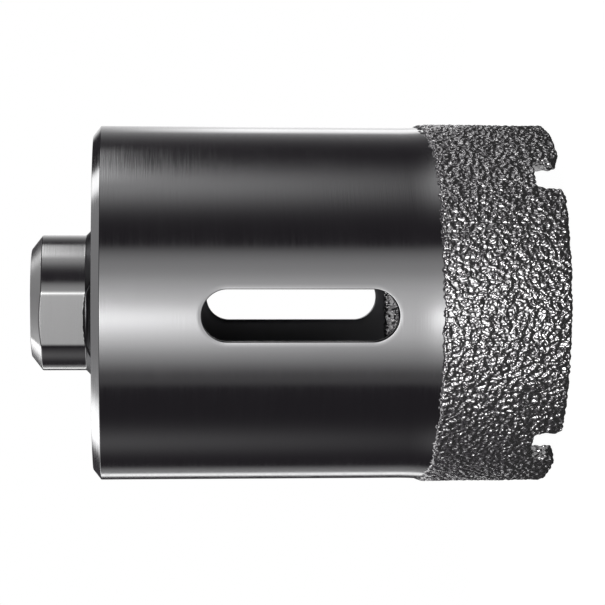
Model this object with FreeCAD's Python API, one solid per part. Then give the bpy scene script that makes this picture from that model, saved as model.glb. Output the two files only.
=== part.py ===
import FreeCAD, Part

import math
import os

# Dry diamond core bit for tile and stone, standing on its cutting rim.
# The origin is the centre of the rim, and +Z runs up the axis to the threaded hub.
# Lengths are in millimetres and angles in degrees.

# Steel cup: a tube closed by a flat end with a bevelled edge
CUP_DIAMETER = 62.8
CUP_HEIGHT = 79.4
CUP_WALL = 2.0
END_THICKNESS = 4.0
END_BEVEL_IN = 1.8
END_BEVEL_DOWN = 1.4
INSIDE_CORNER_BEVEL = 1.5

# Cleaning slots with round ends: one faces -Y, and the one opposite sits nearer the rim
SLOT_LENGTH = 32.9
SLOT_WIDTH = 9.0
SLOT_BELOW_END = 18.0
BACK_SLOT_DROP = 2.85
SLOT_EDGE_BEVEL = 0.3

# Layer of brazed diamond grit over the cup's open end
GRIT_THICKNESS = 0.6
GRIT_HEIGHT_OUTSIDE = 21.8
GRIT_HEIGHT_INSIDE = 24.9
GRIT_EDGE_TAPER = 0.5
GRIT_RIM_BEVEL = 0.4

# Notches in the cutting rim, a pair beside each slot, measured over the grit
NOTCH_WIDTH = 7.3
NOTCH_DEPTH = 4.8
NOTCH_ROOT_RADIUS = 1.6
NOTCH_MOUTH_RADIUS = 1.6
NOTCH_TURN_FROM_SLOT = 48.0

# Hub: a turned connector with two spanner flats, brazed into the cup's end by its spigot
HUB_DIAMETER = 24.0
HUB_HEIGHT = 10.85
HUB_NOSE_BEVEL_IN = 2.25
HUB_NOSE_BEVEL_DOWN = 1.75
HUB_ACROSS_FLATS = 22.0
HUB_FLATS_TURN_FROM_SLOT = -12.0
HUB_FOOT_SPREAD = 1.3
HUB_FOOT_HEIGHT = 1.25
HUB_FOOT_SLOPE_UNDER_FLATS = 0.4
SPIGOT_DIAMETER = 18.0
SPIGOT_INSIDE_CUP = 1.0
SPIGOT_BEVEL = 0.5
BRAZE_GAP = 0.05

# Female spindle thread, M14 with a pitch of 2, bored to its crests
THREAD_DIAMETER = 14.0
THREAD_PITCH = 2.0
THREAD_MOUTH_CLEARANCE = 0.1

# How far a cutting tool overruns the faces that it cuts
OVERRUN = 1.0

# Points closer than this are the same point
MERGE_DISTANCE = 0.001

# Radii and levels that follow from the sizes above
cup_radius = CUP_DIAMETER / 2
cup_inner_radius = cup_radius - CUP_WALL
steel_rim_level = GRIT_THICKNESS
end_level = steel_rim_level + CUP_HEIGHT
ceiling_level = end_level - END_THICKNESS
hub_radius = HUB_DIAMETER / 2
hub_top_level = end_level + HUB_HEIGHT
spigot_radius = SPIGOT_DIAMETER / 2
spigot_low_level = ceiling_level - SPIGOT_INSIDE_CUP
thread_crest_radius = THREAD_DIAMETER / 2 - 5 / 8 * THREAD_PITCH * math.cos(math.radians(30))

AXIS = FreeCAD.Vector(0, 0, 1)
CENTRE = FreeCAD.Vector(0, 0, 0)


class Outline:
    """A closed outline of straight runs and arcs, drawn from point to point."""

    def __init__(self, start):
        self.start = start
        self.here = start
        self.edges = []

    def line_to(self, end):
        self.edges.append(Part.makeLine(self.here, end))
        self.here = end
        return self

    def arc_to(self, end, centre):
        """Go to end along the shorter arc about centre."""
        middle = (self.here - centre) + (end - centre)
        middle.normalize()
        middle.multiply((end - centre).Length)
        self.edges.append(Part.Arc(self.here, centre + middle, end).toShape())
        self.here = end
        return self

    def face(self):
        """The face inside the outline, closed by a last line where an arc hasn't closed it."""
        if not self.here.isEqual(self.start, MERGE_DISTANCE):
            self.line_to(self.start)
        return Part.Face(Part.Wire(self.edges))


def on_profile(radius, level):
    """A point on the turned profile's half plane."""
    return FreeCAD.Vector(radius, 0, level)


def turned(face):
    """The solid that the face sweeps in one full turn about the axis."""
    return face.revolve(CENTRE, AXIS, 360)


def turned_cone(low_radius, low_level, high_radius, high_level):
    cone = Part.makeCone(low_radius, high_radius, high_level - low_level)
    cone.translate(AXIS * low_level)
    return cone


def turned_cylinder(radius, low_level, high_level):
    return Part.makeCylinder(radius, high_level - low_level, AXIS * low_level)


def round_the_axis(shape, angles):
    """Copies of the shape, turned about the axis to the angles."""
    copies = []
    for angle in angles:
        copy = shape.copy()
        copy.rotate(CENTRE, AXIS, angle)
        copies.append(copy)
    return copies


def slot_cutter(drop):
    """One slot's tool: a bar with round long ends, from the axis out along -Y."""
    half_width = SLOT_WIDTH / 2
    top_level = end_level - SLOT_BELOW_END - drop
    top_centre = on_profile(0, top_level - half_width)
    low_centre = on_profile(0, top_level - SLOT_LENGTH + half_width)
    side = FreeCAD.Vector(half_width, 0, 0)
    outline = Outline(low_centre + side)
    outline.line_to(top_centre + side)
    outline.arc_to(top_centre + AXIS * half_width, top_centre)
    outline.arc_to(top_centre - side, top_centre)
    outline.line_to(low_centre - side)
    outline.arc_to(low_centre - AXIS * half_width, low_centre)
    outline.arc_to(low_centre + side, low_centre)
    return outline.face().extrude(FreeCAD.Vector(0, -cup_radius - OVERRUN, 0))


def slot_cutters():
    front = slot_cutter(0)
    back = slot_cutter(BACK_SLOT_DROP)
    back.rotate(CENTRE, AXIS, 180)
    return [front, back]


def notch_cutter(allowance):
    """One notch's tool along +X. The allowance is what the tool takes off beyond the finished
    notch, so that steel cut with it has room for the grit."""
    rim = allowance
    half_width = NOTCH_WIDTH / 2 + allowance
    root = NOTCH_DEPTH + allowance
    root_radius = NOTCH_ROOT_RADIUS + allowance
    mouth_radius = NOTCH_MOUTH_RADIUS - allowance
    mouth_half_width = half_width + mouth_radius

    def at(across, level):
        return FreeCAD.Vector(0, across, level)

    outline = Outline(at(-mouth_half_width, rim - OVERRUN))
    outline.line_to(at(-mouth_half_width, rim))
    outline.arc_to(at(-half_width, rim + mouth_radius), at(-mouth_half_width, rim + mouth_radius))
    outline.line_to(at(-half_width, root - root_radius))
    outline.arc_to(at(-half_width + root_radius, root), at(-half_width + root_radius, root - root_radius))
    outline.line_to(at(half_width - root_radius, root))
    outline.arc_to(at(half_width, root - root_radius), at(half_width - root_radius, root - root_radius))
    outline.line_to(at(half_width, rim + mouth_radius))
    outline.arc_to(at(mouth_half_width, rim), at(mouth_half_width, rim + mouth_radius))
    outline.line_to(at(mouth_half_width, rim - OVERRUN))
    return outline.face().extrude(FreeCAD.Vector(cup_radius + GRIT_THICKNESS + OVERRUN, 0, 0))


def notch_cutters(allowance):
    angles = []
    for slot_angle in (-90, 90):
        angles.append(slot_angle - NOTCH_TURN_FROM_SLOT)
        angles.append(slot_angle + NOTCH_TURN_FROM_SLOT)
    return round_the_axis(notch_cutter(allowance), angles)


def outer_slot_edges(cup):
    """The slots' edges on the outside of the wall."""
    slot_high_level = end_level - SLOT_BELOW_END
    slot_low_level = slot_high_level - SLOT_LENGTH - BACK_SLOT_DROP
    found = []
    for edge in cup.Edges:
        box = edge.BoundBox
        middle = edge.valueAt((edge.FirstParameter + edge.LastParameter) / 2)
        on_outside = abs(math.hypot(middle.x, middle.y) - cup_radius) < MERGE_DISTANCE
        above_low_end = box.ZMin > slot_low_level - MERGE_DISTANCE
        below_high_end = box.ZMax < slot_high_level + MERGE_DISTANCE
        if on_outside and above_low_end and below_high_end:
            found.append(edge)
    return found


def make_cup():
    """Tube wall and closed end in one piece, with the slots and the rim's notches."""
    corner = INSIDE_CORNER_BEVEL
    hole_radius = spigot_radius + BRAZE_GAP
    outline = Outline(on_profile(hole_radius, end_level))
    outline.line_to(on_profile(cup_radius - END_BEVEL_IN, end_level))
    outline.line_to(on_profile(cup_radius, end_level - END_BEVEL_DOWN))
    outline.line_to(on_profile(cup_radius, steel_rim_level))
    outline.line_to(on_profile(cup_inner_radius, steel_rim_level))
    outline.line_to(on_profile(cup_inner_radius, ceiling_level - corner))
    outline.line_to(on_profile(cup_inner_radius - corner, ceiling_level))
    outline.line_to(on_profile(hole_radius, ceiling_level))
    cup = turned(outline.face())
    cup = cup.cut(slot_cutters())
    cup = cup.makeChamfer(SLOT_EDGE_BEVEL, outer_slot_edges(cup))
    return cup.cut(notch_cutters(GRIT_THICKNESS))


def make_crown(cup):
    """The grit layer: outside, inside and over the rim, and down the walls of the notches."""
    outer = cup_radius + GRIT_THICKNESS
    inner = cup_inner_radius - GRIT_THICKNESS
    bevel = GRIT_RIM_BEVEL
    outline = Outline(on_profile(inner + bevel, 0))
    outline.line_to(on_profile(outer - bevel, 0))
    outline.line_to(on_profile(outer, bevel))
    outline.line_to(on_profile(outer, GRIT_HEIGHT_OUTSIDE - GRIT_EDGE_TAPER))
    outline.line_to(on_profile(cup_radius, GRIT_HEIGHT_OUTSIDE))
    outline.line_to(on_profile(cup_inner_radius, GRIT_HEIGHT_INSIDE))
    outline.line_to(on_profile(inner, GRIT_HEIGHT_INSIDE - GRIT_EDGE_TAPER))
    outline.line_to(on_profile(inner, bevel))
    crown = turned(outline.face())
    return crown.cut(notch_cutters(0)).cut(cup)


def flats_cutters():
    """The two blocks that the spanner flats take off the hub."""
    flat_distance = HUB_ACROSS_FLATS / 2
    block = Part.makeBox(HUB_DIAMETER, hub_radius, HUB_HEIGHT + OVERRUN)
    block.translate(FreeCAD.Vector(-hub_radius, flat_distance, end_level))
    return round_the_axis(block, (HUB_FLATS_TURN_FROM_SLOT, HUB_FLATS_TURN_FROM_SLOT + 180))


def make_hub():
    """Bevelled nose, round body with flats, flared foot and spigot, with the thread's bore."""
    bevel_level = hub_top_level - HUB_NOSE_BEVEL_DOWN
    nose = turned_cone(hub_radius, bevel_level, hub_radius - HUB_NOSE_BEVEL_IN, hub_top_level)
    body = turned_cylinder(hub_radius, end_level, bevel_level)
    hub = body.fuse(nose).cut(flats_cutters())

    foot_level = end_level + HUB_FOOT_HEIGHT
    foot = turned_cone(hub_radius + HUB_FOOT_SPREAD, end_level, hub_radius, foot_level)
    rise_under_flats = HUB_FOOT_SLOPE_UNDER_FLATS * (hub_radius - spigot_radius)
    flats_foot = turned_cone(hub_radius, foot_level, spigot_radius, foot_level + rise_under_flats)

    spigot = turned_cylinder(spigot_radius, spigot_low_level + SPIGOT_BEVEL, end_level)
    spigot_end = turned_cone(
        spigot_radius - SPIGOT_BEVEL, spigot_low_level, spigot_radius, spigot_low_level + SPIGOT_BEVEL
    )
    hub = hub.fuse([foot, flats_foot, spigot, spigot_end])

    mouth_radius = THREAD_DIAMETER / 2 + THREAD_MOUTH_CLEARANCE
    mouth_depth = mouth_radius - thread_crest_radius
    bore = turned_cylinder(thread_crest_radius, spigot_low_level - OVERRUN, hub_top_level + OVERRUN)
    top_mouth = turned_cone(thread_crest_radius, hub_top_level - mouth_depth, mouth_radius, hub_top_level)
    low_mouth = turned_cone(mouth_radius, spigot_low_level, thread_crest_radius, spigot_low_level + mouth_depth)
    return hub.cut([bore, top_mouth, low_mouth]).removeSplitter()


def main():
    cup = make_cup()
    pieces = {
        "cup": cup,
        "diamond_crown": make_crown(cup),
        "hub": make_hub(),
    }
    os.makedirs("parts", exist_ok=True)
    for name, shape in pieces.items():
        shape.exportStep(os.path.join("parts", name + ".step"))
        box = shape.BoundBox
        print(name, "solids", len(shape.Solids), "valid", shape.isValid(), "volume", round(shape.Volume, 1),
              "levels", round(box.ZMin, 3), round(box.ZMax, 3))


main()
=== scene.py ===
import math

import bmesh
import bpy
from mathutils import Matrix, Vector, noise


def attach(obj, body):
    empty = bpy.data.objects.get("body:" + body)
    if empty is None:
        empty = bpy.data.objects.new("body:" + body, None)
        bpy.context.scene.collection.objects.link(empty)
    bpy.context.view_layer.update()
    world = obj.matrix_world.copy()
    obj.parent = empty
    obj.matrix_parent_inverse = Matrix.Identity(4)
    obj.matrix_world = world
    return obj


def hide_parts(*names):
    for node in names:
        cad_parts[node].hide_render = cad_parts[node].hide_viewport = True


# The looks of a diamond core bit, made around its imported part. Lengths below are millimetres.

MM = 0.001
FULL_TURN = 2 * math.pi

# The cup
CUP_RADIUS = 31.4
CUP_INNER_RADIUS = 29.4
CUP_FOOT = 0.6
CUP_END = 80.0
CUP_CEILING = 76.0
END_BEVEL_IN = 1.8
END_BEVEL_DOWN = 1.4
INSIDE_CORNER_BEVEL = 1.5
BRAZE_GAP = 0.05
CUP_COLUMNS = 512

# The fillet over the coat's edge, as (height above the edge, thickness)
BRAZE_FILLET = ((-0.6, 0.235), (0.0, 0.18), (0.8, 0.115), (1.6, 0.065), (2.5, 0.03), (3.4, 0.01), (4.4, 0.0))

# The two cleaning slots, the back one nearer the rim
SLOT_HIGH = 61.8
SLOT_LOW = 28.95
SLOT_WIDTH = 8.7
SLOT_TURN = -0.35
SLOT_EDGE = 0.15
SLOT_WEAR_WIDTH = 0.95
SLOT_WEAR_DEPTH = 0.07
SLOT_POINTS = 128
BACK_SLOT_DROP = 2.85
BACK_SLOT_TURN = 181.4
SLOT_DEPTH = 6.0

# The grit crown
GRIT_RADIUS = 32.0
GRIT_INNER_RADIUS = 28.8
GRIT_HIGH_OUTSIDE = 21.8
GRIT_HIGH_INSIDE = 24.9
GRIT_TAPER = 0.5
GRIT_RIM_ROUNDING = 0.4
GRIT_RIM_TAPER = 0.15
GRIT_COLUMNS = 360
GRIT_VOXEL = 0.192
NOTCH_WIDTH = 7.3
NOTCH_DEPTH = 4.8
NOTCH_MOUTH_ROUNDING = 1.6
NOTCH_ROOT_ROUNDING = 1.6
NOTCH_TURNS = (48, 132, 228, 312)
GRIT_THICKNESS = 0.6

# The grains, the coat's ragged edge as (relief, waves a millimetre), and its thin wedges at the two sides
GRAINS_PER_MM = 1.25
GRAIN_REACH = 0.65
GRAIN_RELIEF = 0.24
FINE_RELIEF = 0.1
BROAD_RELIEF = 0.08
GRIT_SINK = 0.17
COAT_EDGE_RISE = 0.1
COAT_EDGE_RAGGED = ((0.2, 0.2), (0.35, 0.9))
SIDE_WEDGE = 1.5
SIDE_WEDGE_TURN = 30

# The crown's parts as (middle, half width), in degrees from +X
SECTORS = ((0, 42), (90, 48), (180, 42), (270, 48))

# The hub
HUB_RADIUS = 12.0
HUB_TOP = 90.85
HUB_NOSE_BEVEL_IN = 2.5
HUB_NOSE_BEVEL_DOWN = 1.95
HUB_NOSE_FOLLOWS_FLATS = 0.5
HUB_FLAT_DISTANCE = 11.0
HUB_FLATS_TURN = 78
HUB_FOOT_RADIUS = 13.3
HUB_FOOT_HEIGHT = 1.25
HUB_FOOT_SLOPE_UNDER_FLATS = 0.4
HUB_EDGE_SOFTNESS = 0.12
SPIGOT_RADIUS = 9.0
SPIGOT_LOW = 75.0
SPIGOT_BEVEL = 0.5
THREAD_RADIUS = 7.0
THREAD_CREST_RADIUS = 5.9175
THREAD_MOUTH_RADIUS = 7.1
THREAD_PITCH = 2.0
THREAD_STEP = 0.11
THREAD_FLAT_SHARE = 0.125
THREAD_FLANK_SHARE = 0.625
HUB_COLUMNS = 320

# Heights between which the hub's outside and its spigot need no short steps
PLAIN_BODY = (82.2, 88.5)
PLAIN_SPIGOT = (75.6, 79.99)

# Roundings, and how far the cutters reach past the surface
CORNER_STEPS = 4
NOTCH_CORNER_STEPS = 6
CUTTER_REACH = 2.0

# Finishes, and the colours painted as shade
CUP_STEEL = (0.45, 0.45, 0.455, 1)
HUB_STEEL = (0.56, 0.56, 0.56, 1)
# Steel colour painted as shade inside the cup, in its slot walls and on the hub's foot
PAINTED_SHADE_STEEL = (0.1, 0.1, 0.105, 1)
GRIT_BRAZE = (0.83, 0.82, 0.83, 1)
# Braze colour painted as shade over the coat's thin edge at the two sides
PAINTED_SHADE_BRAZE = (0.12, 0.12, 0.125, 1)

# The studio's darkest tone, and its floor
SHADE = (0.028, 0.0252, 0.0295)
FLOOR_RADIUS = 100.0

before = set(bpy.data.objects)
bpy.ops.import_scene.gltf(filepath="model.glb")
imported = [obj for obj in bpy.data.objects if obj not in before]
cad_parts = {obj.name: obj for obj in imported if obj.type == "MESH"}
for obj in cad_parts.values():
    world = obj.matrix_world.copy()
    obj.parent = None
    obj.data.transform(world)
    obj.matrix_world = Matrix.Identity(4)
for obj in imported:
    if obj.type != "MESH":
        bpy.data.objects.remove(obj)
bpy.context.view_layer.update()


# Mesh tools

def deselect_everything():
    if bpy.context.object and bpy.context.object.mode != "OBJECT":
        bpy.ops.object.mode_set(mode="OBJECT")
    bpy.ops.object.select_all(action="DESELECT")


def choose(piece):
    deselect_everything()
    piece.select_set(True)
    bpy.context.view_layer.objects.active = piece


def finish_modifier(piece, kind, **settings):
    choose(piece)
    modifier = piece.modifiers.new(kind.lower(), kind)
    for setting, value in settings.items():
        setattr(modifier, setting, value)
    bpy.ops.object.modifier_apply(modifier=modifier.name)


def rounded_outline(corners):
    """Points of a closed outline of (radius, height, rounding) corners."""
    points = []
    for index, (radius, height, rounding) in enumerate(corners):
        here = Vector((radius, height))
        if not rounding:
            points.append(here)
            continue
        following = corners[(index + 1) % len(corners)]
        back = (Vector(corners[index - 1][:2]) - here).normalized()
        on = (Vector(following[:2]) - here).normalized()
        half_angle = back.angle(on) / 2
        centre = here + (back + on).normalized() * rounding / math.sin(half_angle)
        start = here + back * rounding / math.tan(half_angle) - centre
        end = here + on * rounding / math.tan(half_angle) - centre
        for step in range(CORNER_STEPS + 1):
            arm = start.lerp(end, step / CORNER_STEPS).normalized() * rounding
            points.append(centre + arm)
    return points


def divided(points, spacing, low, high):
    """The closed outline with its steep runs between two heights cut to short steps."""
    finer = []
    for index, point in enumerate(points):
        finer.append(point)
        following = points[(index + 1) % len(points)]
        middle = (point.y + following.y) / 2
        length = (following - point).length
        if low < middle < high and length > spacing:
            steps = math.ceil(length / spacing)
            finer += [point.lerp(following, step / steps) for step in range(1, steps)]
    return finer


def turned_piece(name, outline, columns):
    """A ring of points set to the outline, spun once round the axis."""
    deselect_everything()
    bpy.ops.mesh.primitive_circle_add(vertices=len(outline), radius=CUP_RADIUS * MM, fill_type="NOTHING")
    piece = bpy.context.object
    piece.name = piece.data.name = name
    for vertex, point in zip(piece.data.vertices, outline):
        vertex.co = (point.x * MM, 0, point.y * MM)
    bpy.ops.object.mode_set(mode="EDIT")
    bpy.ops.mesh.select_all(action="SELECT")
    bpy.ops.mesh.spin(steps=columns, angle=FULL_TURN, center=(0, 0, 0), axis=(0, 0, 1))
    bpy.ops.mesh.select_all(action="SELECT")
    bpy.ops.mesh.remove_doubles(threshold=0.001 * MM)
    bpy.ops.mesh.normals_make_consistent(inside=False)
    bpy.ops.object.mode_set(mode="OBJECT")
    return piece


def lofted_rings(name, rings):
    """Closed rings of points joined one to the next, with both ends filled."""
    deselect_everything()
    loops = []
    for ring in rings:
        bpy.ops.mesh.primitive_circle_add(vertices=len(ring), radius=CUP_RADIUS * MM, fill_type="NOTHING")
        loop = bpy.context.object
        for vertex, point in zip(loop.data.vertices, ring):
            vertex.co = Vector(point) * MM
        loops.append(loop)
    deselect_everything()
    for loop in loops:
        loop.select_set(True)
    bpy.context.view_layer.objects.active = loops[0]
    bpy.ops.object.join()
    piece = bpy.context.object
    piece.name = piece.data.name = name
    bpy.ops.object.mode_set(mode="EDIT")
    bpy.ops.mesh.select_all(action="SELECT")
    bpy.ops.mesh.bridge_edge_loops()
    bpy.ops.mesh.select_all(action="SELECT")
    bpy.ops.mesh.fill_holes(sides=0)
    bpy.ops.mesh.select_all(action="SELECT")
    bpy.ops.mesh.normals_make_consistent(inside=False)
    bpy.ops.object.mode_set(mode="OBJECT")
    return piece


def turned_copies(piece, turns):
    """A copy of the piece at each of the turns round the axis, in place of the piece itself."""
    copies = []
    for turn in turns:
        copy = piece.copy()
        copy.data = piece.data.copy()
        copy.data.transform(Matrix.Rotation(math.radians(turn), 4, "Z"))
        bpy.context.scene.collection.objects.link(copy)
        copies.append(copy)
    bpy.data.objects.remove(piece)
    return copies


def cut_away(piece, cutters):
    for cutter in cutters:
        finish_modifier(piece, "BOOLEAN", operation="DIFFERENCE", object=cutter, solver="EXACT")
        bpy.data.objects.remove(cutter)


def shade_round(piece, sharp_from):
    choose(piece)
    bpy.ops.object.shade_smooth_by_angle(angle=math.radians(sharp_from))


# Shapes

def slot_ring(drop, grow, radius=None, depth=None):
    """The slot's outline, grown on all sides, laid on a cylinder or on a plane facing the front."""
    end_radius = SLOT_WIDTH / 2 + grow
    high_centre = SLOT_HIGH - drop - SLOT_WIDTH / 2
    low_centre = SLOT_LOW - drop + SLOT_WIDTH / 2
    ring = []
    for index in range(SLOT_POINTS):
        angle = FULL_TURN * (index + 0.5) / SLOT_POINTS
        across = end_radius * math.cos(angle)
        along = end_radius * math.sin(angle) + (high_centre if math.sin(angle) > 0 else low_centre)
        back = depth if radius is None else math.sqrt(radius ** 2 - across ** 2)
        ring.append((across, -back, along))
    return ring


def slot_cutter(drop):
    """A slot shape that spreads in a small rounded edge where it leaves the cup."""
    rings = [slot_ring(drop, 0, depth=CUP_RADIUS - SLOT_DEPTH)]
    for step in range(CORNER_STEPS + 1):
        angle = math.pi / 2 * step / CORNER_STEPS
        grow = SLOT_EDGE * (1 - math.cos(angle))
        rings.append(slot_ring(drop, grow, radius=CUP_RADIUS - SLOT_EDGE * (1 - math.sin(angle))))
    rings.append(slot_ring(drop, 3 * SLOT_EDGE, radius=CUP_RADIUS + SLOT_EDGE * 0.4))
    rings.append(slot_ring(drop, 3 * SLOT_EDGE, depth=CUP_RADIUS + CUTTER_REACH))
    return lofted_rings("slot_cutter", rings)


def notch_outline(allowance):
    """Half of a notch in the rim as (across, height) points, from below the rim to the middle of its root."""
    half_width = NOTCH_WIDTH / 2 + allowance
    root = NOTCH_DEPTH + allowance
    mouth = NOTCH_MOUTH_ROUNDING - allowance
    corner = NOTCH_ROOT_ROUNDING + allowance
    rim = allowance
    points = [(half_width + mouth, rim - 3), (half_width + mouth, rim)]
    for step in range(1, NOTCH_CORNER_STEPS + 1):
        angle = math.pi / 2 * step / NOTCH_CORNER_STEPS
        points.append((half_width + mouth * (1 - math.sin(angle)), rim + mouth * (1 - math.cos(angle))))
    for step in range(NOTCH_CORNER_STEPS + 1):
        angle = math.pi / 2 * step / NOTCH_CORNER_STEPS
        points.append((half_width - corner * (1 - math.cos(angle)), root - corner * (1 - math.sin(angle))))
    return points


def notch_cutter(allowance):
    half = notch_outline(allowance)
    outline = half + [(-across, height) for across, height in reversed(half)]
    inner = [(across, -(GRIT_INNER_RADIUS - 5), height) for across, height in outline]
    outer = [(across, -(GRIT_RADIUS + CUTTER_REACH), height) for across, height in outline]
    return lofted_rings("notch_cutter", [inner, outer])


def make_cup():
    """The cup turned from its section, with its slots and the notches in its rim cut away."""
    corners = [
        (CUP_RADIUS, CUP_FOOT, 0),
        (CUP_RADIUS, GRIT_HIGH_OUTSIDE - 1, 0),
        *((CUP_RADIUS + thickness, GRIT_HIGH_OUTSIDE + above, 0) for above, thickness in BRAZE_FILLET),
        (CUP_RADIUS, CUP_END - END_BEVEL_DOWN, 0.2),
        (CUP_RADIUS - END_BEVEL_IN, CUP_END, 0.25),
        (SPIGOT_RADIUS + BRAZE_GAP, CUP_END, 0),
        (SPIGOT_RADIUS + BRAZE_GAP, CUP_CEILING, 0),
        (CUP_INNER_RADIUS - INSIDE_CORNER_BEVEL, CUP_CEILING, 0.8),
        (CUP_INNER_RADIUS, CUP_CEILING - INSIDE_CORNER_BEVEL, 0.8),
        (CUP_INNER_RADIUS, CUP_FOOT, 0),
    ]
    cup = turned_piece("cup_body", rounded_outline(corners), CUP_COLUMNS)
    cut_away(cup, turned_copies(slot_cutter(0), (SLOT_TURN,)))
    cut_away(cup, turned_copies(slot_cutter(BACK_SLOT_DROP), (BACK_SLOT_TURN,)))
    cut_away(cup, turned_copies(notch_cutter(GRIT_THICKNESS), NOTCH_TURNS))
    shade_round(cup, 32)
    finish_modifier(cup, "WEIGHTED_NORMAL", keep_sharp=True)
    return cup


def soft_least(first, second, softness):
    blend = max(softness - abs(first - second), 0) / softness
    return min(first, second) - blend * blend * softness / 4


def soft_most(first, second, softness):
    return -soft_least(-first, -second, softness)


def hub_skin_radius(radius, turn, height):
    """Outside of the hub: the turned body cut by the two flats, over the cone of its foot."""
    towards_flat = abs(math.cos(turn - math.radians(HUB_FLATS_TURN)))
    if towards_flat > 0.5:
        flat_radius = HUB_FLAT_DISTANCE / towards_flat
        if height > HUB_TOP - HUB_NOSE_BEVEL_DOWN:
            radius -= HUB_NOSE_FOLLOWS_FLATS * max(HUB_RADIUS - flat_radius, 0)
        radius = soft_least(radius, flat_radius, HUB_EDGE_SOFTNESS)
    above_foot = height - CUP_END - HUB_FOOT_HEIGHT
    if above_foot > 0:
        foot_radius = HUB_RADIUS - above_foot / HUB_FOOT_SLOPE_UNDER_FLATS
    else:
        foot_radius = HUB_RADIUS + (HUB_FOOT_RADIUS - HUB_RADIUS) * (above_foot / HUB_FOOT_HEIGHT) ** 2
    return soft_most(radius, foot_radius, HUB_EDGE_SOFTNESS)


def thread_radius(radius, turn, height):
    """Inside of the hub: the thread's helix, run out in the cones of its mouths."""
    phase = (height / THREAD_PITCH - turn / FULL_TURN) % 1
    from_groove = abs(phase - 0.5) * 2
    depth = min(max((from_groove - THREAD_FLAT_SHARE) / THREAD_FLANK_SHARE, 0), 1)
    helix_radius = THREAD_RADIUS + (THREAD_CREST_RADIUS - THREAD_RADIUS) * depth
    return soft_most(radius, helix_radius, 0.1)


def make_hub():
    """The hub turned from its section, with its flats, its foot's cone and its thread."""
    nose_radius = HUB_RADIUS - HUB_NOSE_BEVEL_IN
    mouth_depth = THREAD_MOUTH_RADIUS - THREAD_CREST_RADIUS
    corners = [
        (HUB_FOOT_RADIUS, CUP_END, 0.12),
        (HUB_RADIUS, CUP_END + HUB_FOOT_HEIGHT, 0),
        (HUB_RADIUS, HUB_TOP - HUB_NOSE_BEVEL_DOWN, 0.3),
        (nose_radius, HUB_TOP, 0.5),
        (THREAD_MOUTH_RADIUS, HUB_TOP, 0.1),
        (THREAD_CREST_RADIUS, HUB_TOP - mouth_depth, 0),
        (THREAD_CREST_RADIUS, SPIGOT_LOW + mouth_depth, 0),
        (THREAD_MOUTH_RADIUS, SPIGOT_LOW, 0.1),
        (SPIGOT_RADIUS - SPIGOT_BEVEL, SPIGOT_LOW, 0),
        (SPIGOT_RADIUS, SPIGOT_LOW + SPIGOT_BEVEL, 0),
        (SPIGOT_RADIUS, CUP_END, 0),
    ]
    outline = rounded_outline(corners)
    finer = divided(outline, THREAD_STEP, SPIGOT_LOW + 0.2, HUB_TOP - 0.05)
    outline = []
    for point in finer:
        on_body = point.x > HUB_RADIUS - 0.01 and PLAIN_BODY[0] < point.y < PLAIN_BODY[1]
        in_cup = PLAIN_SPIGOT[0] < point.y < PLAIN_SPIGOT[1]
        on_spigot = THREAD_MOUTH_RADIUS < point.x <= SPIGOT_RADIUS and in_cup
        if not on_body and not on_spigot:
            outline.append(point)
    hub = turned_piece("hub_body", outline, HUB_COLUMNS)
    for vertex in hub.data.vertices:
        across, away, height = vertex.co / MM
        radius = math.hypot(across, away)
        turn = math.atan2(away, across)
        if radius > THREAD_MOUTH_RADIUS + 0.2 and height > CUP_END + 0.005:
            new_radius = hub_skin_radius(radius, turn, height)
        elif radius < THREAD_MOUTH_RADIUS:
            new_radius = thread_radius(radius, turn, height)
        else:
            continue
        vertex.co.x *= new_radius / radius
        vertex.co.y *= new_radius / radius
    shade_round(hub, 50)
    return hub


def grit_height(place):
    """How far the grit stands out at a place on the crown, in millimetres."""
    stretched = Vector((place.x, place.y, place.z * 0.8))
    nearest = noise.voronoi(stretched * GRAINS_PER_MM)[0][0]
    bead = 1 - min(nearest / GRAIN_REACH, 1) ** 2
    fine = noise.noise(stretched * 1.9)
    broad = noise.noise(place * 0.3)
    return GRAIN_RELIEF * bead + FINE_RELIEF * fine + BROAD_RELIEF * broad - GRIT_SINK


def coat_rise(across, away):
    """How much higher the coat's outer edge lies at a place round the cup, in millimetres."""
    place = Vector((across, away, 0))
    waves = [relief * noise.noise(place * fineness) for relief, fineness in COAT_EDGE_RAGGED]
    return COAT_EDGE_RISE + sum(waves)


def side_wedge(across, away):
    """How far the coat thins out over the tube at the sides, in millimetres."""
    from_side = math.degrees(math.atan2(abs(away), abs(across)))
    return SIDE_WEDGE * max(1 - (from_side / SIDE_WEDGE_TURN) ** 2, 0)


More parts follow.
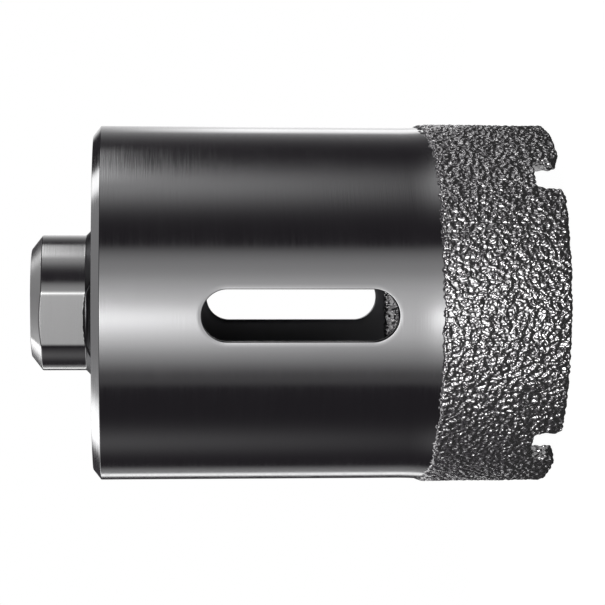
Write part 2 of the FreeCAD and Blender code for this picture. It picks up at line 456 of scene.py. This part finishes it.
def make_crown():
    """The coat of grit round the rim, with its ragged edge, notches and grains, in one closed mesh."""
    corners = [
        (GRIT_RADIUS - GRIT_RIM_TAPER, 0, GRIT_RIM_ROUNDING),
        (GRIT_RADIUS, GRIT_HIGH_OUTSIDE - GRIT_TAPER, 0.3),
        (CUP_RADIUS, GRIT_HIGH_OUTSIDE, 0),
        (CUP_INNER_RADIUS + 0.3, GRIT_HIGH_INSIDE, 0),
        (GRIT_INNER_RADIUS, GRIT_HIGH_INSIDE - GRIT_TAPER, 0.3),
        (GRIT_INNER_RADIUS, 0, GRIT_RIM_ROUNDING),
    ]
    crown = turned_piece("grit_crown", rounded_outline(corners), GRIT_COLUMNS)
    for vertex in crown.data.vertices:
        across, away, height = vertex.co / MM
        radius = math.hypot(across, away)
        if height > GRIT_HIGH_OUTSIDE - 2 and radius > CUP_RADIUS - 0.5:
            thinned = max(GRIT_RADIUS - radius, 0) / (GRIT_RADIUS - CUP_RADIUS)
            vertex.co.z += (coat_rise(across, away) + thinned * side_wedge(across, away)) * MM
    cut_away(crown, turned_copies(notch_cutter(0), NOTCH_TURNS))
    finish_modifier(crown, "REMESH", mode="VOXEL", voxel_size=GRIT_VOXEL * MM)
    finish_modifier(crown, "SMOOTH", factor=0.5, iterations=4)
    normals = [Vector(corner.vector) for corner in crown.data.vertex_normals]
    for vertex, normal in zip(crown.data.vertices, normals):
        vertex.co += normal * grit_height(vertex.co / MM) * MM
    return crown


def crown_sectors(crown):
    """The crown parted at the middles of its notches, each part closed by itself."""
    sectors = []
    for index, (middle, half_width) in enumerate(SECTORS):
        sector = crown.copy()
        sector.data = crown.data.copy()
        sector.name = sector.data.name = f"grit_crown_{index + 1}"
        bpy.context.scene.collection.objects.link(sector)
        towards = Vector((math.cos(math.radians(middle)), math.sin(math.radians(middle)), 0))
        form = bmesh.new()
        form.from_mesh(sector.data)
        outside = []
        for face in form.faces:
            centre = face.calc_center_median()
            flat = Vector((centre.x, centre.y, 0)).normalized()
            if flat.dot(towards) < math.cos(math.radians(half_width)):
                outside.append(face)
        bmesh.ops.delete(form, geom=outside, context="FACES")
        open_edges = [edge for edge in form.edges if edge.is_boundary]
        bmesh.ops.holes_fill(form, edges=open_edges)
        form.to_mesh(sector.data)
        form.free()
        sectors.append(sector)
    bpy.data.objects.remove(crown)
    return sectors


# Materials

def plug(tree, socket, value):
    """Links the value to the socket where it is a socket too, and sets it there otherwise."""
    if isinstance(value, bpy.types.NodeSocket):
        tree.links.new(value, socket)
    else:
        socket.default_value = value


def node(tree, kind, **inputs):
    """A new node, with the inputs named by their sockets set or linked."""
    made = tree.nodes.new(kind)
    for name, value in inputs.items():
        plug(tree, made.inputs[name.replace("_", " ")], value)
    return made


def maths(tree, operation, *values, clamp=False):
    """The result of one sum of the values, each a socket or a plain number."""
    made = tree.nodes.new("ShaderNodeMath")
    made.operation = operation
    made.use_clamp = clamp
    for socket, value in zip(made.inputs, values):
        plug(tree, socket, value)
    return made.outputs[0]


def vector_maths(tree, operation, *values):
    """A node that takes one vector sum of the values, each a socket or plain numbers."""
    made = tree.nodes.new("ShaderNodeVectorMath")
    made.operation = operation
    for socket, value in zip(made.inputs, values):
        plug(tree, socket, value)
    return made


def stepped(tree, value, from_low, from_high, to_low=0.0, to_high=1.0, smooth=True):
    """The value's share of the way from the low to the high end, clamped and eased."""
    made = tree.nodes.new("ShaderNodeMapRange")
    made.interpolation_type = "SMOOTHSTEP" if smooth else "LINEAR"
    tree.links.new(value, made.inputs["Value"])
    ranges = {"From Min": from_low, "From Max": from_high, "To Min": to_low, "To Max": to_high}
    for name, number in ranges.items():
        made.inputs[name].default_value = number
    return made.outputs["Result"]


def new_material(name):
    material = bpy.data.materials.new(name)
    material.use_nodes = True
    tree = material.node_tree
    return material, tree, tree.nodes["Principled BSDF"]


def colour_between(tree, share, first, second):
    """The first colour where the share is 0 and the second where it is 1."""
    made = tree.nodes.new("ShaderNodeMix")
    made.data_type = "RGBA"
    plug(tree, made.inputs["Factor"], share)
    plug(tree, made.inputs[6], first)
    plug(tree, made.inputs[7], second)
    return made.outputs[2]


def clear_of_painted_shade(tree, coordinates):
    """Mask that is 1 on the outside, and 0 on the cup's inner wall and ceiling and the hub's brazed foot, where
    the steel is given a painted shade.
    """
    level = vector_maths(tree, "MULTIPLY", coordinates, (1, 1, 0)).outputs["Vector"]
    from_axis = vector_maths(tree, "LENGTH", level).outputs["Value"]
    height = node(tree, "ShaderNodeSeparateXYZ", Vector=coordinates).outputs["Z"]
    far_out = stepped(tree, from_axis, (CUP_RADIUS - 0.05) * MM, (CUP_RADIUS - 0.012) * MM)
    foot_line = maths(tree, "MULTIPLY_ADD", from_axis, HUB_FOOT_SLOPE_UNDER_FLATS, height)
    foot_top = CUP_END + HUB_FOOT_HEIGHT + HUB_FOOT_SLOPE_UNDER_FLATS * HUB_RADIUS
    over_foot = stepped(tree, foot_line, (foot_top - 0.1) * MM, (foot_top + 0.1) * MM)
    high_up = maths(tree, "MULTIPLY", over_foot, maths(tree, "GREATER_THAN", height, (CUP_END - 0.05) * MM))
    past_foot = stepped(tree, from_axis, (HUB_FOOT_RADIUS + 0.2) * MM, (HUB_FOOT_RADIUS + 1) * MM)
    over_ceiling = stepped(tree, height, (CUP_CEILING + 1) * MM, (CUP_CEILING + 2) * MM)
    end_face = maths(tree, "MULTIPLY", past_foot, over_ceiling)
    return maths(tree, "MAXIMUM", far_out, maths(tree, "MAXIMUM", high_up, end_face))


def slot_wear(tree, coordinates, turn, drop):
    """How near a place on the cup is to a slot's edge, from 1 at the edge to 0 where the wear ends."""
    split = node(tree, "ShaderNodeSeparateXYZ", Vector=coordinates)
    slot_middle = CUP_RADIUS * MM * direction_of(turn)
    across = maths(tree, "SUBTRACT", split.outputs["X"], slot_middle.x)
    low_centre = (SLOT_LOW - drop + SLOT_WIDTH / 2) * MM
    high_centre = (SLOT_HIGH - drop - SLOT_WIDTH / 2) * MM
    nearest = maths(tree, "MINIMUM", maths(tree, "MAXIMUM", split.outputs["Z"], low_centre), high_centre)
    along = maths(tree, "SUBTRACT", split.outputs["Z"], nearest)
    squares = maths(tree, "ADD", maths(tree, "POWER", across, 2), maths(tree, "POWER", along, 2))
    from_edge = maths(tree, "SUBTRACT", maths(tree, "SQRT", squares), SLOT_WIDTH / 2 * MM)
    near = stepped(tree, from_edge, SLOT_WEAR_WIDTH * MM, 0.0, smooth=False)
    on_side = maths(tree, "GREATER_THAN", maths(tree, "MULTIPLY", split.outputs["Y"], slot_middle.y), 0)
    low_end = stepped(tree, along, 0.0, -SLOT_WIDTH / 2 * MM, 1.0, 0.7)
    return maths(tree, "MULTIPLY", maths(tree, "MULTIPLY", near, low_end), on_side)


def turned_finish_and_shade():
    """Group for turned and plated steel: fine rings, a little cloudiness, and painted shade on the inner faces."""
    group = bpy.data.node_groups.new("turned_finish_and_shade", "ShaderNodeTree")
    for name, kind in (("Colour", "Color"), ("Roughness", "Float"), ("Line Depth", "Float")):
        group.interface.new_socket(name, in_out="INPUT", socket_type=f"NodeSocket{kind}")
    for name, kind in (("Colour", "Color"), ("Roughness", "Float"), ("Normal", "Vector")):
        group.interface.new_socket(name, in_out="OUTPUT", socket_type=f"NodeSocket{kind}")
    given = group.nodes.new("NodeGroupInput").outputs
    result = group.nodes.new("NodeGroupOutput").inputs
    coordinates = node(group, "ShaderNodeTexCoord").outputs["Object"]
    rings = node(group, "ShaderNodeMapping", Vector=coordinates, Scale=(130, 130, 6000)).outputs["Vector"]
    ring_noise = node(group, "ShaderNodeTexNoise", Vector=rings, Scale=1.0, Detail=3.0).outputs["Fac"]
    cloud = node(group, "ShaderNodeTexNoise", Vector=coordinates, Scale=140.0, Detail=4.0).outputs["Fac"]
    lines = node(group, "ShaderNodeBump", Height=ring_noise, Strength=1.0, Distance=given["Line Depth"])
    outside = clear_of_painted_shade(group, coordinates)
    height = node(group, "ShaderNodeSeparateXYZ", Vector=coordinates).outputs["Z"]
    nose_low = HUB_TOP - HUB_NOSE_BEVEL_DOWN
    rough = maths(group, "MULTIPLY", given["Roughness"], stepped(group, ring_noise, 0.3, 0.7, 0.8, 1.25))
    for extra in (
        stepped(group, cloud, 0.3, 0.8, 0.0, 0.03),
        maths(group, "MULTIPLY", maths(group, "SUBTRACT", 1, outside), 0.2),
        stepped(group, height, (nose_low - 0.1) * MM, (nose_low + 0.2) * MM, 0.0, 0.17),
    ):
        rough = maths(group, "ADD", rough, extra)
    # Painted shade: the dark steel colour where the mask is 0, inside the cup and on the hub's foot
    group.links.new(colour_between(group, outside, PAINTED_SHADE_STEEL, given["Colour"]), result["Colour"])
    group.links.new(rough, result["Roughness"])
    group.links.new(lines.outputs["Normal"], result["Normal"])
    return group


def turned_steel(name, finish, colour, roughness, line_depth, worn_slots=()):
    """Steel in the turned finish with its painted shade, and with the edges of the given (turn, drop) slots worn
    down.
    """
    material, tree, shader = new_material(name)
    placed = tree.nodes.new("ShaderNodeGroup")
    placed.node_tree = finish
    for socket_name, value in (("Colour", colour), ("Roughness", roughness), ("Line Depth", line_depth * MM)):
        placed.inputs[socket_name].default_value = value
    normal = placed.outputs["Normal"]
    if worn_slots:
        coordinates = node(tree, "ShaderNodeTexCoord").outputs["Object"]
        worn = 0.0
        for turn, drop in worn_slots:
            worn = maths(tree, "ADD", slot_wear(tree, coordinates, turn, drop), worn)
        sunk = maths(tree, "SUBTRACT", 1, maths(tree, "POWER", worn, 2.5))
        depth = SLOT_WEAR_DEPTH * MM
        edge = node(tree, "ShaderNodeBump", Height=sunk, Strength=1.0, Distance=depth, Normal=normal)
        normal = edge.outputs["Normal"]
    tree.links.new(placed.outputs["Colour"], shader.inputs["Base Color"])
    shader.inputs["Metallic"].default_value = 1.0
    tree.links.new(placed.outputs["Roughness"], shader.inputs["Roughness"])
    tree.links.new(normal, shader.inputs["Normal"])
    return material


def grit_material():
    """Brazed grit: small domed grains in bright braze, with painted shade where the coat thins out at the sides.
    """
    material, tree, shader = new_material("brazed_grit")
    coordinates = node(tree, "ShaderNodeTexCoord").outputs["Object"]
    stretched = node(tree, "ShaderNodeMapping", Vector=coordinates, Scale=(1, 1, 0.7)).outputs["Vector"]
    bent = node(tree, "ShaderNodeTexNoise", Vector=stretched, Scale=1500.0, Detail=0.0)
    bends = vector_maths(tree, "SCALE", bent.outputs["Color"])
    bends.inputs["Scale"].default_value = 0.35 * MM
    moved = vector_maths(tree, "ADD", stretched, bends.outputs["Vector"]).outputs["Vector"]
    cells = node(tree, "ShaderNodeTexVoronoi", Vector=moved, Scale=1750.0)
    squared = maths(tree, "POWER", maths(tree, "DIVIDE", cells.outputs["Distance"], 0.7), 2)
    dome = maths(tree, "SUBTRACT", 1, squared, clamp=True)
    bump = node(tree, "ShaderNodeBump", Height=dome, Strength=1.0, Distance=0.12 * MM)
    split = node(tree, "ShaderNodeSeparateXYZ", Vector=coordinates)
    # Painted shade: the braze turns dark over the coat's edge at the two sides, near plus and minus X
    at_side = stepped(tree, maths(tree, "ABSOLUTE", split.outputs["X"]), 29.5 * MM, 31 * MM)
    edge_low = (GRIT_HIGH_OUTSIDE + 0.15) * MM
    edge_high = (GRIT_HIGH_OUTSIDE + 0.5) * MM
    over_coat = stepped(tree, split.outputs["Z"], edge_low, edge_high)
    painted_side_shade = maths(tree, "MULTIPLY", at_side, over_coat)
    tree.links.new(colour_between(tree, painted_side_shade, GRIT_BRAZE, PAINTED_SHADE_BRAZE), shader.inputs["Base Color"])
    shader.inputs["Metallic"].default_value = 1.0
    shader.inputs["Roughness"].default_value = 0.2
    tree.links.new(bump.outputs["Normal"], shader.inputs["Normal"])
    return material


# Light, floor and camera

def direction_of(degrees):
    """Level direction at an angle from the camera's side, turning towards +X."""
    angle = math.radians(degrees)
    return Vector((math.sin(angle), -math.cos(angle), 0))


def facing(tree, level_direction, degrees):
    """Cosine of the angle between the level direction and a bearing, in a socket."""
    return vector_maths(tree, "DOT_PRODUCT", level_direction, direction_of(degrees)).outputs["Value"]


def sheet(tree, level_direction, middle, half_width, edge):
    """Mask of an even sheet of light with soft upright edges."""
    outer = math.cos(math.radians(half_width + edge))
    inner = math.cos(math.radians(max(half_width - edge, 0)))
    return stepped(tree, facing(tree, level_direction, middle), outer, inner)


def glow(tree, level_direction, middle, sharpness):
    """Mask of a light that is strongest at its middle and falls off to both sides."""
    return maths(tree, "POWER", maths(tree, "MAXIMUM", facing(tree, level_direction, middle), 0), sharpness)


def band(tree, height, low, full_from, full_to, high):
    """Mask of the heights between low and high, at its full from the second to the third."""
    rise = stepped(tree, height, low, full_from)
    fall = stepped(tree, height, high, full_to)
    return maths(tree, "MULTIPLY", rise, fall)


def studio_light(tree, bearing, height, away):
    """Level of the studio's soft lights in a direction. Heights are sines of the elevation."""
    upper_side = stepped(tree, facing(tree, bearing, 90), -0.05, 0.08)
    front = stepped(tree, height, 0.5, 0.2)
    core = band(tree, height, -0.14, 0.02, 0.2, 0.5)
    fillet_lamp = band(tree, height, 0.05, 0.15, 0.3, 0.5)
    upper = stepped(tree, height, -0.19, 0.03, 0.06, 1.0, smooth=False)
    upper = maths(tree, "MULTIPLY", upper, stepped(tree, height, 0.3, 0.1))
    spot = band(tree, height, 0.0, 0.065, 0.12, 0.3)
    back = maths(tree, "MULTIPLY", upper_side, band(tree, height, -0.35, -0.15, 0.12, 0.3))
    rim = maths(tree, "MULTIPLY", back, stepped(tree, height, 0.012, -0.05, smooth=False))
    upper_lamp = band(tree, height, 0.6, 0.65, 0.72, 0.78)
    lower_lamp = band(tree, height, 0.54, 0.64, 0.76, 0.84)
    corner = band(tree, height, 0.25, 0.4, 0.65, 0.8)
    lights = (
        # The broad light in front, with a brighter core
        (sheet(tree, bearing, -5.75, 44.25, 2.5), front, 0.08),
        (sheet(tree, bearing, 6, 27, 9), front, 0.29),
        (sheet(tree, bearing, -9, 22, 13), front, 0.42),
        (glow(tree, bearing, -6, 110), core, 0.72),
        (glow(tree, bearing, -12, 30), core, 0.35),
        # Over it, seen in the fillet, the slots' edges and the grains
        (glow(tree, bearing, -4, 40), fillet_lamp, 2.6),
        (glow(tree, bearing, -8, 7), fillet_lamp, 0.4),
        # The upper side, the spot on it and the bright edges behind it
        (glow(tree, bearing, 84.5, 26), upper, 0.42),
        (sheet(tree, bearing, 104, 13, 8), spot, 1.3),
        (glow(tree, bearing, 180, 6.5), back, 0.88),
        (glow(tree, bearing, 180, 14), rim, 0.4),
        (sheet(tree, bearing, 155, 4.2, 3.6), rim, 1.0),
        # The lower side and its thin bright line
        (glow(tree, bearing, -97, 40), upper, 0.11),
        (sheet(tree, bearing, -146.5, 3.6, 1.5), None, 1.25),
        (sheet(tree, bearing, -141, 7, 7), None, 0.27),
        (sheet(tree, bearing, -165, 12, 4), None, 0.02),
        # The lamps that the bevel and the hub's foot and nose show
        (glow(tree, bearing, 149, 60), upper_lamp, 2.2),
        (glow(tree, bearing, -147, 60), lower_lamp, 2.2),
        (glow(tree, bearing, -105, 14), corner, 0.8),
        (glow(tree, bearing, 110, 14), corner, 0.1),
    )
    light = 0.0
    for mask, rise, level in lights:
        if rise is not None:
            mask = maths(tree, "MULTIPLY", mask, rise)
        light = maths(tree, "ADD", maths(tree, "MULTIPLY", mask, level), light)
    light = maths(tree, "MULTIPLY", light, band(tree, height, -0.6, -0.4, 0.75, 0.92))
    ceiling = maths(tree, "MULTIPLY", stepped(tree, height, 0.72, 0.8), stepped(tree, away, -0.1, 0.15))
    return maths(tree, "ADD", light, maths(tree, "MULTIPLY", ceiling, 0.33))


def make_world():
    """A dark studio with soft lights round the part, white to the camera."""
    world = bpy.data.worlds.new("studio")
    bpy.context.scene.world = world
    world.use_nodes = True
    tree = world.node_tree
    tree.nodes.clear()
    direction = node(tree, "ShaderNodeTexCoord").outputs["Generated"]
    split = node(tree, "ShaderNodeSeparateXYZ", Vector=direction)
    level = vector_maths(tree, "MULTIPLY", direction, (1, 1, 0)).outputs["Vector"]
    bearing = vector_maths(tree, "NORMALIZE", level).outputs["Vector"]
    light = studio_light(tree, bearing, split.outputs["Z"], split.outputs["Y"])
    lit = vector_maths(tree, "ADD", light, SHADE).outputs["Vector"]
    path = node(tree, "ShaderNodeLightPath")
    white = maths(tree, "ADD", path.outputs["Is Camera Ray"], path.outputs["Is Transmission Ray"], clamp=True)
    colour = colour_between(tree, white, lit, (1, 1, 1, 1))
    background = node(tree, "ShaderNodeBackground", Color=colour, Strength=1.0)
    output = tree.nodes.new("ShaderNodeOutputWorld")
    tree.links.new(background.outputs[0], output.inputs["Surface"])


def make_floor():
    """A pale disc, white to the camera. The metal sees it dark, but for a place that lights the cup's inside."""
    deselect_everything()
    bpy.ops.mesh.primitive_circle_add(
        vertices=96, radius=FLOOR_RADIUS * MM, fill_type="NGON", location=(0, 0, -0.02 * MM),
    )
    floor = bpy.context.object
    floor.name = "floor"
    material = bpy.data.materials.new("white_floor")
    material.use_nodes = True
    tree = material.node_tree
    tree.nodes.clear()
    path = node(tree, "ShaderNodeLightPath")
    seen = maths(tree, "ADD", path.outputs["Is Camera Ray"], path.outputs["Is Transmission Ray"], clamp=True)
    in_metal = path.outputs["Is Glossy Ray"]
    place = node(tree, "ShaderNodeTexCoord").outputs["Object"]
    from_axis = vector_maths(tree, "LENGTH", place).outputs["Value"]
    under_cup = stepped(tree, from_axis, 28 * MM, 26 * MM, 0.02, 0.43)
    lit = node(tree, "ShaderNodeBsdfDiffuse", Color=(0.9, 0.9, 0.9, 1))
    to_camera = maths(tree, "MULTIPLY", seen, 1.22)
    level = maths(tree, "ADD", to_camera, maths(tree, "MULTIPLY", in_metal, under_cup))
    white = node(tree, "ShaderNodeEmission", Color=(1, 1, 1, 1), Strength=level)
    share = maths(tree, "ADD", maths(tree, "MULTIPLY", seen, 0.8), maths(tree, "MULTIPLY", in_metal, 0.95))
    mixed = node(tree, "ShaderNodeMixShader", Fac=share)
    tree.links.new(lit.outputs[0], mixed.inputs[1])
    tree.links.new(white.outputs[0], mixed.inputs[2])
    output = tree.nodes.new("ShaderNodeOutputMaterial")
    tree.links.new(mixed.outputs[0], output.inputs["Surface"])
    floor.data.materials.append(material)


def make_camera():
    """The view of the photograph: nearly level, the part's axis lying across the picture."""
    round_axis = math.radians(3.598)
    dip = 0.0771
    forward = Vector((0, math.cos(dip), -math.sin(dip)))
    right = Vector((0, -math.sin(dip), -math.cos(dip)))
    up = Vector((1, 0, 0))
    place = Vector((0.0456, -388.416, 72.718)) * MM
    turn = Matrix.Rotation(round_axis, 3, "Z")
    bpy.ops.object.camera_add(location=turn @ place)
    camera = bpy.context.object
    camera.name = "camera"
    axes = Matrix((turn @ right, turn @ up, -(turn @ forward))).transposed()
    camera.rotation_euler = axes.to_euler()
    camera.data.sensor_width = 36
    camera.data.lens = 129.21
    camera.data.clip_start = 0.01
    bpy.context.scene.camera = camera


make_camera()
make_world()
make_floor()
bpy.context.scene.view_settings.view_transform = "Standard"

# The turned finish group also paints the shade inside the cup and on the hub's foot
finish = turned_finish_and_shade()
slots = ((SLOT_TURN, 0), (BACK_SLOT_TURN, BACK_SLOT_DROP))
cup_steel = turned_steel("plated_cup_steel", finish, CUP_STEEL, roughness=0.12, line_depth=0.004, worn_slots=slots)
hub_steel = turned_steel("plated_hub_steel", finish, HUB_STEEL, roughness=0.125, line_depth=0.003)
brazed_grit = grit_material()

cup = make_cup()
hub = make_hub()
sectors = crown_sectors(make_crown())

for piece, material, slot_name, cad_node in (
    (cup, cup_steel, "cup_steel", "cup"),
    (hub, hub_steel, "hub_steel", "hub"),
    *((sector, brazed_grit, "diamond_grit", "diamond_crown") for sector in sectors),
):
    piece.data.materials.clear()
    piece.data.materials.append(material)
    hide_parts(cad_node)
    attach(piece, "root")

for sector in sectors:
    shade_round(sector, 60)
